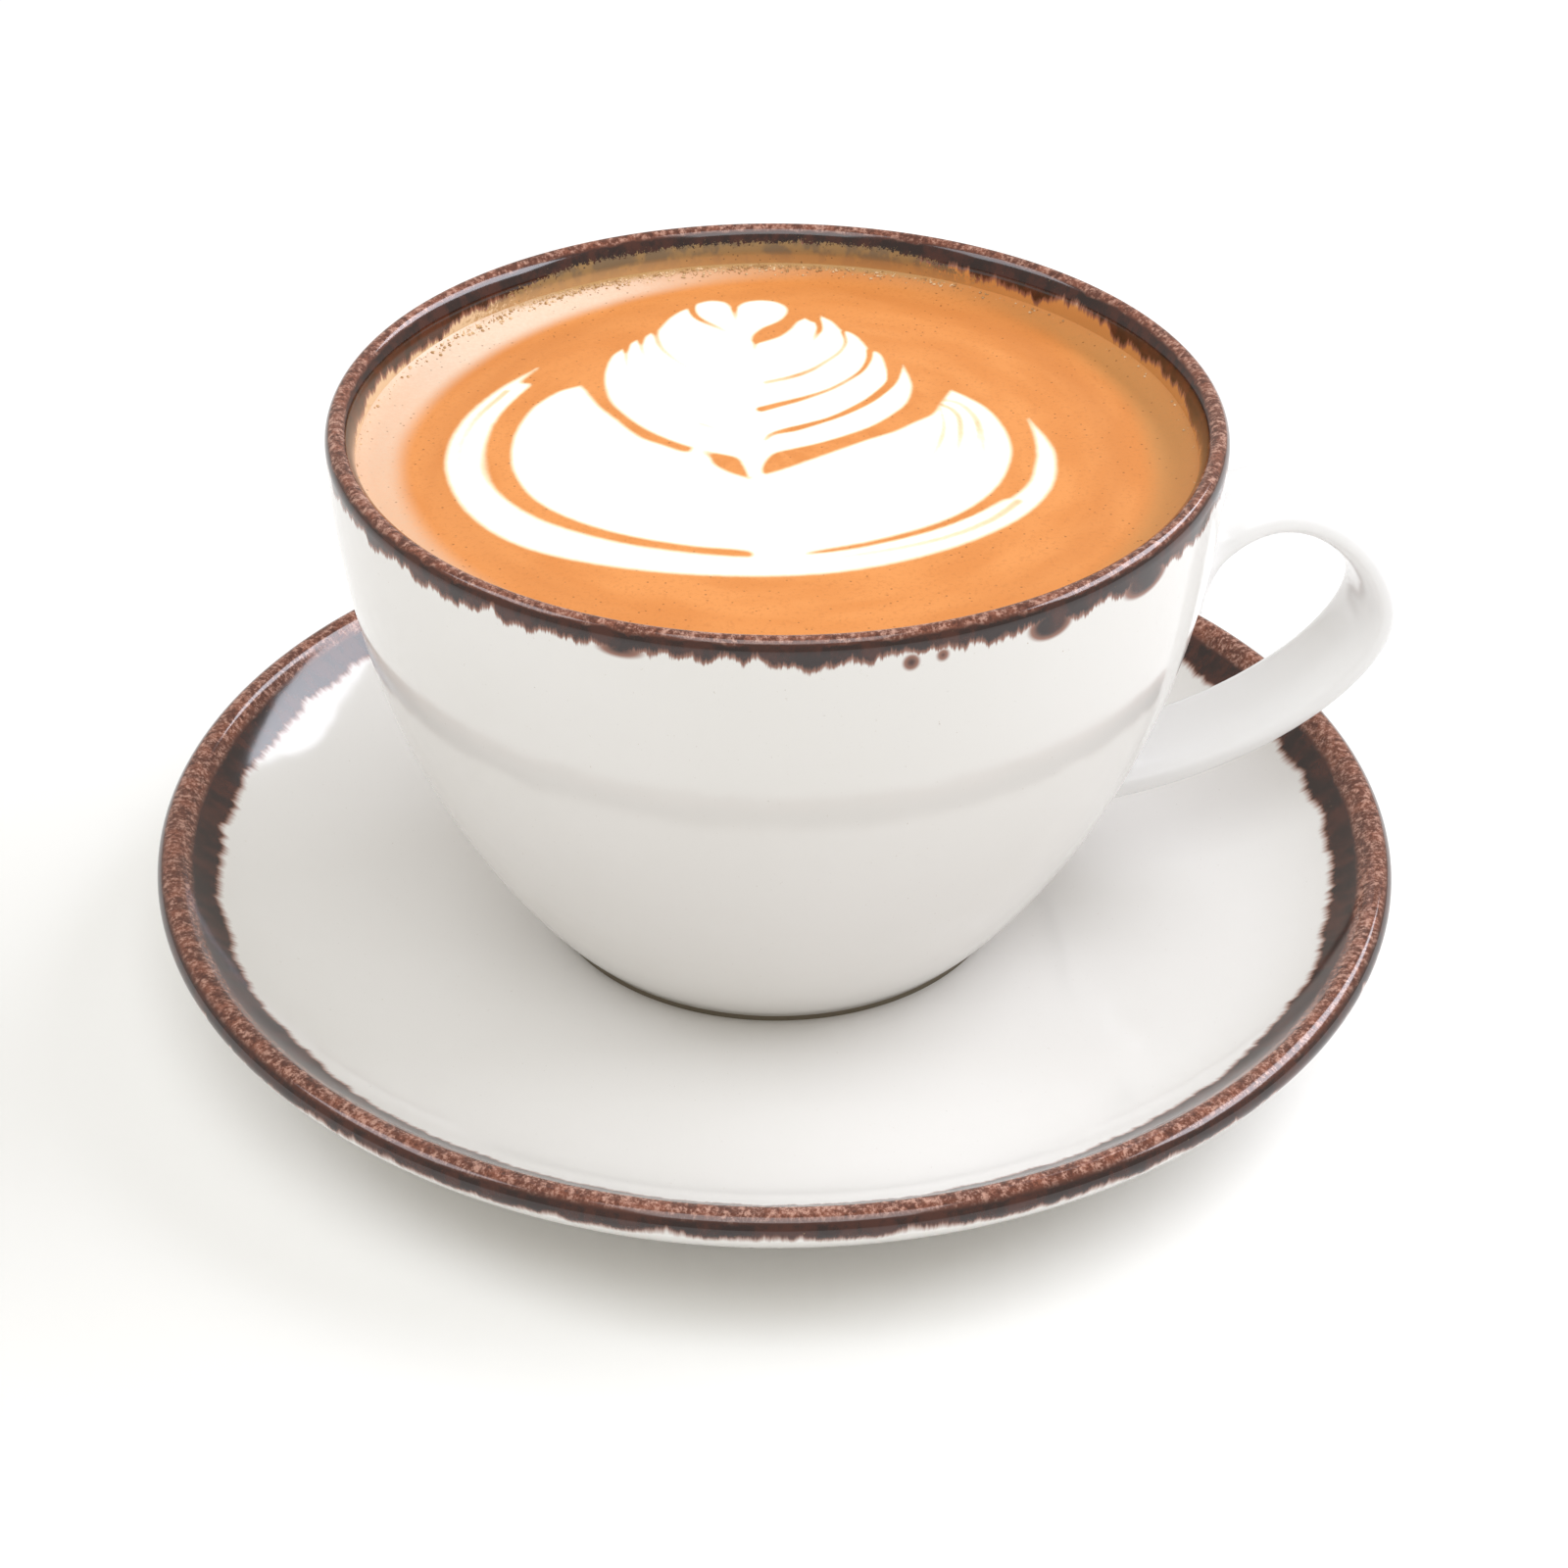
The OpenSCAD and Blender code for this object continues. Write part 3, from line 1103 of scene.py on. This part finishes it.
class Rosetta:
    """The poured drawing: an outer sweep, a crescent, and a ribbed leaf with a heart on top.

    It is laid down in the order in which the lists name it. Places are in millimetres from
    the middle of the cup, right and back, as the drinker sees them.
    """

    sweep = Patch((
        ((-30.5, 21.5), (-35, 15.5), (-38.5, 8), (-40, 0), (-39.3, -8), (-36, -16.5), (-30.5, -23),
         (-23, -27), (-12, -29.7), (0, -30.2), (10, -28.4), (20, -23.7), (28, -17), (32.5, -9.5),
         (33.7, -2), (33, 3), (31, 8.5)),
        ((31.5, 3), (31.2, -2), (30, -8), (26.5, -13), (20, -18.7), (12, -22.7), (4, -25.4),
         (-3.5, -25.9), (-12, -24.6), (-20, -22), (-28, -17.2), (-33.2, -10.5), (-35, -3),
         (-35.2, 3), (-34.3, 9), (-32.5, 14), (-31.3, 17)),
        ((-32.3, 17.8), (-30.5, 21.5)),
    ), foam=0.86, soft=0.6)
    core = (
        Streak(((-31.6, 16.5), (-34.5, 11), (-36.7, 5), (-37.2, -2), (-36, -8.5), (-33, -14.7),
               (-28, -20.5), (-20, -25), (-10, -27.4), (0, -28), (6, -27.7)),
               (0.5, 2.0, 2.4, 2.6, 3.0, 2.4), (1, 1, 1, 1), foam=1, soft=0.7),
        Streak(((0, -27), (9, -25), (17, -21.3), (23, -17), (27, -12.5)), (2.2, 1.6, 1.6, 1.2),
               (1, 1, 1, 0.4), foam=1, soft=0.5),
        Streak(((20, -22), (27, -16.5), (31, -10), (32.6, -3), (32.2, 3)), (0.8, 1.2, 1.3, 0.5),
               (0.3, 0.6, 0.5, 0), foam=1, soft=0.6),
    )
    sweep_lines = (
        Streak(((28.5, -12.5), (25, -17), (20, -20.8), (13, -24), (5, -26.4), (-1, -27.4)),
               (1.0, 0.8, 0.7, 0.5), (0.45, 0.35, 0.28, 0), foam=0.1),
        Streak(((30.4, 5), (30.6, -1), (29.6, -7.5)), (0.8, 1.6, 0.6), (0.2, 0.5, 0.1), soft=0.6),
        Streak(((-34.6, 6), (-35, -2), (-34, -8.5), (-30, -15)), (0.8, 1.5, 0.6), (0.4, 0.4, 0.1),
               soft=0.7),
        Streak(((-34, 15), (-37, 8), (-38.4, 1), (-38.2, -5)), (0.6, 0.7, 0.4), (0.5, 0.2, 0.1)),
    )
    crescent = Patch((
        ((-24.8, 16.6), (-27.5, 14.8), (-30.3, 10.5), (-31.8, 5), (-32.2, 0), (-31.5, -6),
         (-28.7, -12.5), (-24, -17.3), (-17.5, -21), (-10, -23.4), (-3.3, -24.6), (-3, -27)),
        ((3.2, -26.8), (3.6, -24.9), (11, -22), (18, -18.2), (23, -13.7), (26.5, -8), (28.3, -1),
         (28, 5), (26.3, 10.5), (24, 13.8), (21.8, 16)),
        ((20.6, 13), (19.3, 9.6), (17, 7.4), (14.5, 5), (10.5, 2.3), (5, -1.8), (0.8, -4.9),
         (-1.3, -6.2)),
        ((-2.4, -6.2), (-3.4, -7.3)),
        ((-6, -5.6), (-7.6, -3.8), (-8.3, -1.8), (-9.6, -0.5), (-11.5, -0.6), (-14, 1), (-17, 3.2),
         (-20, 7.6), (-22.5, 11.5), (-24, 15), (-24.8, 16.6)),
    ), soft=0.6)
    crescent_lines = (
        Streak(((20.4, 13.4), (22.5, 12.6), (24.2, 9.5), (25, 5), (25, 0), (24.2, -6)),
               (0.7, 0.9, 0.7, 0.5), (0.3, 0.4, 0.25, 0), foam=0.1),
        Streak(((20.4, 12.2), (21.8, 10.6), (22.5, 8), (22.3, 3), (21.3, -3)), (0.6, 0.8, 0.6),
               (0.5, 0.45, 0), foam=0.1),
        Streak(((20.3, 11), (20.5, 7), (20.2, 4), (19.2, 0), (17.3, -4)), (0.4, 0.7, 0.5),
               (0.3, 0.4, 0), foam=0.1),
        Streak(((26.2, 7), (26, 2), (25.4, -4)), (0.5, 0.5), (0.2, 0)),
        Streak(((24.6, 7.5), (24.4, 2), (23.8, -5)), (0.4, 0.5), (0.3, 0)),
        Streak(((-21.8, 2), (-21, -1), (-19.2, -4.5)), (0.5, 0.5), (0.05, 0.2)),
        Streak(((-25, -5), (-22.8, -9), (-20, -12)), (0.5, 0.4), (0.05, 0.08)),
        Streak(((-24, -14.5), (-15, -18.8), (-8, -21.8), (-3.5, -23.2)), (0.6, 1.3), (0.03, 0.12)),
        Streak(((3, -23.5), (10, -20.5), (17, -16.5)), (1.2, 0.4), (0.08, 0.0)),
    )
    leaf = Patch((
        ((-3.4, -6.9), (-4.1, -4), (-5, -2), (-8, -0.7), (-10.5, 0.6), (-13, 2.3), (-16, 5),
         (-18.5, 8.3), (-20.7, 12.3), (-21.7, 17), (-21.8, 21), (-21.2, 24.8), (-20, 26.9)),
        ((-19.6, 26), (-19.2, 27)),
        ((-18.9, 28.6), (-18.3, 29.5)),
        ((-17.7, 28.4), (-17.4, 29)),
        ((-17.1, 30.6), (-16.5, 31.6)),
        ((-15.9, 31.2), (-15.5, 32.6)),
        ((-14.2, 36), (-12.7, 38.3), (-11.3, 39.4)),
        ((-10.4, 40.7), (-8.7, 41.4), (-7, 40.8), (-5.8, 38.4)),
        ((-4.7, 40.7), (-2.7, 41.6), (-0.4, 41.2), (1, 39.6), (1, 37.6), (0, 35.5), (-2, 33.5),
         (-3.2, 31.5), (-3.4, 29.8), (-2.8, 28.8)),
        ((-1.5, 29.6), (0.3, 31), (1.6, 33), (2.5, 35.2), (3.5, 36.3)),
        ((4.3, 35.4), (5, 35.4), (5.5, 37.1)),
        ((7, 35.4), (8, 33.2), (8.4, 32.4)),
        ((9, 32.5), (10.2, 31), (11.2, 28.5), (11.7, 26.6)),
        ((12.4, 26.8), (13.2, 25.6), (13.7, 22.5), (14, 19.5)),
        ((15, 20.5), (15.4, 22), (15.9, 23)),
        ((16.6, 19.5), (16.8, 16.5), (16, 12.5), (14.2, 9.5), (11.5, 6.3), (8.5, 4), (5, 1.8),
         (1.8, 0.3), (-0.3, -0.8), (-1.2, -2.3), (-1.8, -4.5), (-1.7, -6.4)),
    ), soft=0.5)
    leaf_lines = (
        Streak(((15, 22.5), (14.4, 18.5), (12.8, 15.2), (10.5, 12), (7, 8.6), (3, 6), (-0.4, 4.2),
               (-1.5, 2.6)), (1.8, 1.4, 1.3, 1.1, 0.9, 1.3, 0.5),
               (1, 0.95, 0.85, 0.75, 0.7, 0.85, 0.4)),
        Streak(((11.8, 27), (11.6, 24.5), (10.6, 21.3), (8.6, 18.4), (6.3, 15.9), (3, 13.5),
               (0.2, 11.9), (-2, 10.6)), (0.9, 0.7, 0.6, 0.7, 1.1, 1.3),
               (0.9, 0.8, 0.6, 0.6, 0.7, 0.75)),
        Streak(((8.4, 32.4), (8.7, 29.3), (7.8, 26.4), (6, 23.7), (4.2, 21.4), (1.6, 19.4),
               (-1.5, 17.9)), (0.5, 0.5, 0.6, 0.9, 0.8), (0.75, 0.5, 0.45, 0.6, 0.4)),
        Streak(((5, 36.8), (5.4, 33.6), (5, 31.5), (4.4, 29.2)), (1.0, 0.8, 0.5), (1, 0.8, 0.05)),
        Streak(((-11.5, 40.2), (-11.2, 37.8), (-10.2, 35.8), (-8, 33.6), (-5.8, 31.4)),
               (1.0, 0.9, 0.7, 0.5), (0.95, 0.8, 0.5, 0)),
        Streak(((-5.8, 39), (-5.6, 36.5), (-5.4, 34.5)), (0.8, 0.4), (0.7, 0)),
        Streak(((-2.9, 29.6), (-3, 28), (-3, 26)), (0.7, 0.5), (0.6, 0)),
        Streak(((-16, 32), (-15.2, 28), (-13.4, 24.5), (-10.3, 20.7), (-6.2, 17.7)),
               (0.7, 0.5, 0.5), (0.65, 0.3, 0.05), foam=0.1),
        Streak(((-17.8, 30), (-17.5, 27), (-16.4, 22)), (0.6, 0.4), (0.6, 0), foam=0.1),
        Streak(((-19.6, 28), (-19.3, 23), (-18.6, 18.5), (-17, 15)), (0.6, 0.4),
               (0.55, 0.12, 0.03)),
        Streak(((-11, 14.5), (-8, 12), (-5, 10.3)), (0.6, 0.5), (0.05, 0.14)),
        Streak(((-9.6, 6.7), (-7, 5), (-4.6, 3.3)), (0.6, 0.6), (0.28, 0.12)),
        Streak(((-2.4, 12), (-2.6, 2), (-2.3, -8), (-1.4, -22)), (0.8, 0.8), (0.06, 0.05)),
        Streak(((-9.8, -0.2), (-8.2, -1.0)), (1.3, 0.6), (0.75, 0.3), foam=1, soft=0.6),
    )

    def cover(self, points: Array) -> Array:
        """How much foam lies at each place, from 0 to 1.

        Args:
            points: the places on the drink.

        Returns:
            The foam at each place.
        """
        cover = np.zeros(len(points))
        order = (self.sweep, *self.core, *self.sweep_lines, self.crescent, *self.crescent_lines,
                 self.leaf, *self.leaf_lines)
        for layer in order:
            layer.paint(points, cover)
        return cover


# ---------------------------------------------------------------- drink


@dataclass
class Drink:
    """The drink, level inside the bowl and drawn a little way up its wall.

    It reaches into the wall's clay by top_overlap at its edge and by side_overlap below,
    where its rings start edge_depth under the level and stop floor_gap above the floor.
    """

    bowl: Bowl
    level: float
    climb: float = 1.3
    edge_width: float = 4.5
    top_overlap: float = 0.15
    side_overlap: float = 0.1
    edge_depth: float = 6.0
    floor_gap: float = 3.0
    grid: int = 300

    def disc(self) -> tuple[Array, Array]:
        """Points of a unit disc from a square grid, and its quads.

        A square point (a, b) goes to the disc at radius max(|a|, |b|), and its angle runs
        evenly along each side of the square.

        Returns:
            The points, and the quads as point numbers.
        """
        steps = np.linspace(-1, 1, self.grid + 1)
        a, b = np.meshgrid(steps, steps, indexing="xy")
        wide = np.abs(a) > np.abs(b)
        radius = np.where(wide, a, b)
        safe = np.where(radius == 0, 1, radius)
        angle = np.where(wide, np.pi / 4 * b / safe, np.pi / 2 - np.pi / 4 * a / safe)
        points = np.stack([radius * np.cos(angle), radius * np.sin(angle)], axis=-1)
        n = self.grid + 1
        return points.reshape(-1, 2), strips(n, n, closed=False)

    def reach(self) -> float:
        """Radius of the drink's top."""
        return float(self.bowl.inner_radius(self.level + self.climb)) + self.top_overlap

    def height(self, radius: Array) -> Array:
        """Height of the top: level + climb s^2.6, where s goes from 0 to 1 over the edge."""
        start = self.reach() - self.edge_width
        return self.level + self.climb * np.clip((radius - start) / self.edge_width, 0, 1) ** 2.6

    def surface(self) -> Surface:
        """The closed drink: its top, then rings down the wall to the floor's middle.

        Returns:
            The closed surface.
        """
        unit_disc, quads = self.disc()
        flat = unit_disc * self.reach()
        radius = np.linalg.norm(flat, axis=1)
        top = np.concatenate([flat, self.height(radius)[:, None]], axis=1)
        n = self.grid + 1
        index = np.arange(n * n).reshape(n, n)
        rim = np.concatenate([index[0, :-1], index[:-1, -1], index[-1, :0:-1], index[:0:-1, 0]])
        lowest = self.bowl.base + self.bowl.floor + self.floor_gap
        heights = np.linspace(self.level - self.edge_depth, lowest, 4)
        way = unit(flat[rim])
        rings = [np.concatenate([
            way * (float(self.bowl.inner_radius(z)) + self.side_overlap),
            np.full((len(rim), 1), z),
        ], axis=1) for z in heights]
        bottom = np.array([[0, 0, lowest - self.side_overlap]])
        points = np.concatenate([top, *rings, bottom])
        m = len(rim)
        starts = [rim] + [n * n + k * m + np.arange(m) for k in range(len(heights))]
        walls = []
        for upper, lower in zip(starts, starts[1:]):
            walls.append(np.stack([upper, lower, np.roll(lower, -1), np.roll(upper, -1)], -1))
        last = starts[-1]
        triangles = fan(last[::-1], len(points) - 1)
        return Surface(points, np.concatenate([quads, *walls]), triangles, {})

    def tones(self, points: Array) -> dict[str, Array]:
        """Foam and crema tones for each point, from its place in the cup.

        The pale ring starts at a radius that wanders with the angle, and its strength does
        too. The olive film lies along the wall at the back. A band of painted shade runs inside
        the ring, strongest at the back right.

        Args:
            points: the drink's points.

        Returns:
            The values by name.
        """
        around = art_angle(points)
        radius = np.hypot(points[:, 0], points[:, 1])
        angles = (-180, -135, -90, -45, 0, 30, 55, 80, 100, 120, 135, 150, 165, 180)
        starts = (45.3, 45.6, 47.6, 46.5, 44.8, 46, 48.5, 49, 47.5, 45.6, 44.8, 44.4, 44.6, 45.3)
        pale = (0.75, 0.6, 0.25, 0.5, 0.75, 0.7, 0.5, 0.3, 0.55, 0.9, 1, 0.95, 0.8, 0.75)
        start = np.interp(around, angles, starts)
        ring = smoothstep(start - 1.3, start + 2.0, radius) * np.interp(around, angles, pale)
        # Painted shade: a darker band about 4 mm inside the ring, strongest at the back right.
        painted_shade_and_grain = np.exp(-((radius - start + 4) / 2.6) ** 2)
        painted_shade_and_grain *= np.interp(around, angles, (0.5, 0.4, 0.1, 0.3, 0.5, 0.7, 0.8, 0.6, 0.3, 0.4, 0.5,
                                           0.5, 0.5, 0.5))
        film = np.interp(around, FILM_ANGLES, FILM_SHARES)
        turn = np.radians(around)
        swirl = np.stack([radius, 12 * np.cos(turn), 12 * np.sin(turn)], axis=1)
        return {
            "milk": Rosetta().cover(art_points(points)),
            "ring": ring,
            "painted_shade_and_grain": painted_shade_and_grain,
            "olive": film * smoothstep(49.0, 51.0, radius),
            "tan": tan_share(around),
            "swirl": swirl,
        }

    def build(self) -> bpy.types.Object:
        """Builds and dresses the drink.

        Returns:
            The piece.
        """
        surface = self.surface()
        surface.values.update(self.tones(surface.points))
        piece = surface.to_object("coffee_top", 80)
        piece.data.materials.append(Crema().material())
        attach(piece, "root")
        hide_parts("coffee")
        return piece


@dataclass
class Froth:
    """Small bubbles that stand in the film at the back, and a few round the rest of the wall."""

    drink: Drink
    count: int = 1300
    smallest: float = 0.06
    largest: float = 0.26
    share_at_back: float = 0.85
    back_angle: float = 108.0
    back_spread: float = 24.0
    sides: int = 8

    def surface(self) -> Surface:
        """All of the bubbles in one mesh.

        Each is a dome: three rings at angles 0, 35 and 65 degrees above its middle's level,
        an apex, and a point below that closes it.

        Returns:
            The bubbles, each of them closed.
        """
        draw = np.random.default_rng(12)
        at_back = draw.random(self.count) < self.share_at_back
        around = np.where(at_back, draw.normal(self.back_angle, self.back_spread, self.count),
                          draw.uniform(-180, 180, self.count))
        size = self.smallest + (self.largest - self.smallest) * draw.random(self.count) ** 4
        reach = self.drink.reach() - 0.25
        radius = reach - size - np.abs(draw.normal(0, np.where(at_back, 0.6, 0.25), self.count))
        turn = np.radians(around + VIEW_TURN)
        middle = np.stack([radius * np.cos(turn), radius * np.sin(turn),
                           self.drink.height(radius)], axis=1)
        rings = np.radians([0.0, 35.0, 65.0])
        steps = np.arange(self.sides) * 2 * np.pi / self.sides
        shell = np.stack([
            np.cos(rings)[:, None] * np.cos(steps), np.cos(rings)[:, None] * np.sin(steps),
            np.broadcast_to(0.75 * np.sin(rings)[:, None], (len(rings), self.sides)),
        ], axis=-1).reshape(-1, 3)
        dome = np.concatenate([shell, [[0, 0, 0.75], [0, 0, -0.4]]])
        points = middle[:, None] + size[:, None, None] * dome
        low, high = np.arange(self.sides), np.arange(len(shell) - self.sides, len(shell))
        caps = np.concatenate([fan(high, len(shell)), fan(low[::-1], len(shell) + 1)])
        shift = (np.arange(self.count) * len(dome))[:, None, None]
        return Surface(points.reshape(-1, 3),
                       (strips(len(rings), self.sides) + shift).reshape(-1, 4),
                       (caps + shift).reshape(-1, 3), {})

    def build(self) -> bpy.types.Object:
        """Builds and dresses the bubbles.

        Returns:
            The piece.
        """
        piece = self.surface().to_object("coffee_bubbles", 80)
        piece.data.materials.append(BubbleFilm().material())
        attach(piece, "root")
        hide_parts("coffee")
        return piece


# ---------------------------------------------------------------- studio


@dataclass(frozen=True)
class Softbox:
    """A rectangular light that faces the cup. Lengths are in metres.

    azimuth is its direction from the cup, from the view's right, and elevation its height
    above the floor, both in degrees. power is in watts, for red, green and blue.
    """

    name: str
    azimuth: float
    elevation: float
    distance: float
    size: tuple[float, float]
    power: Triple

    def hang(self) -> None:
        """Hangs the light."""
        data = bpy.data.lights.new(self.name, "AREA")
        data.shape = "RECTANGLE"
        data.size, data.size_y = self.size
        data.energy = max(self.power)
        data.color = tuple(part / max(self.power) for part in self.power)
        light = stand(self.name, data)
        around, up = math.radians(self.azimuth + VIEW_TURN), math.radians(self.elevation)
        direction = Vector((math.cos(around) * math.cos(up), math.sin(around) * math.cos(up),
                            math.sin(up)))
        light.location = direction * self.distance + Vector((0, 0, 0.04))
        light.rotation_euler = direction.to_track_quat("Z", "Y").to_euler()


@dataclass(frozen=True)
class Studio:
    """Camera, lights and floor. Angles are in degrees, lengths in metres, lens in millimetres."""

    stand_off: float = 0.33549
    camera_height: float = 0.25242
    yaw: float = -8.591
    pitch: float = -34.260
    roll: float = 0.456
    lens: float = 71.53
    half_floor: float = 6.0
    sky: Triple = (0.562, 0.535, 0.494)
    lights: tuple[Softbox, ...] = (
        Softbox("key_right", 20, 42, 1.2, (1.3, 0.36), (8.6, 8.9, 9.9)),
        Softbox("fill_left", 188, 50, 1.2, (0.6, 0.36), (2.1, 2.2, 2.4)),
        Softbox("front", 272, 67, 1.3, (0.8, 0.8), (4.95, 5.2, 5.4)),
    )

    def camera(self) -> None:
        """Stands the camera in front, a little to the left of the handle's side."""
        data = bpy.data.cameras.new("camera")
        data.lens = self.lens
        data.sensor_width = 36
        data.clip_start = 0.01
        camera = stand("camera", data)
        side = math.radians(VIEW_TURN - 90)
        place = Matrix.Translation((
            self.stand_off * math.cos(side), self.stand_off * math.sin(side), self.camera_height,
        ))
        turn = Matrix.Rotation(math.radians(self.yaw), 4, "Z")
        tilt = Matrix.Rotation(math.radians(90 + self.pitch), 4, "X")
        camera.matrix_world = place @ turn @ tilt @ Matrix.Rotation(math.radians(self.roll), 4, "Z")
        bpy.context.scene.camera = camera

    def floor(self) -> None:
        """Lays the pale floor."""
        mesh = bpy.data.meshes.new("floor")
        signs = ((-1, -1, 0), (1, -1, 0), (1, 1, 0), (-1, 1, 0))
        corners = [tuple(self.half_floor * sign for sign in corner) for corner in signs]
        mesh.from_pydata(corners, [], [(0, 1, 2, 3)])
        piece = stand("floor", mesh)
        graph = Graph("floor")
        mesh.materials.append(graph.finish(Base_Color=(0.975, 0.97, 0.95, 1), Roughness=0.6))

    def build(self) -> None:
        """Sets the camera, the lights, the sky and the floor."""
        scene = bpy.context.scene
        scene.view_settings.view_transform = "Standard"
        world = bpy.data.worlds.new("studio")
        world.use_nodes = True
        sky = world.node_tree.nodes["Background"]
        sky.inputs[0].default_value = (*self.sky, 1)
        sky.inputs[1].default_value = 1.0
        scene.world = world
        self.camera()
        for light in self.lights:
            light.hang()
        self.floor()


# ---------------------------------------------------------------- build


def main() -> None:
    """Builds the parts in order and reports each piece."""
    logging.basicConfig(level=logging.INFO, format="%(message)s")
    saucer_low, saucer_high = (np.array(corner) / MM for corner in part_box("saucer"))
    cup_low, cup_high = (np.array(corner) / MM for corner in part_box("cup"))
    drink_high = np.array(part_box("coffee")[1]) / MM
    saucer = Saucer(diameter=float(saucer_high[1] * 2), height=float(saucer_high[2]))
    bowl = Bowl(radius=float(cup_high[1]), base=float(cup_low[2]), top=float(cup_high[2]))
    handle = Handle(bowl=bowl, reach=float(cup_high[0]))
    drink = Drink(bowl=bowl, level=float(drink_high[2]))
    for part in (saucer, bowl, handle, drink, Froth(drink=drink)):
        piece = part.build()
        LOG.info("%s: %d points", piece.name, len(piece.data.vertices))
    Studio().build()


if __name__ == "__main__":
    main()
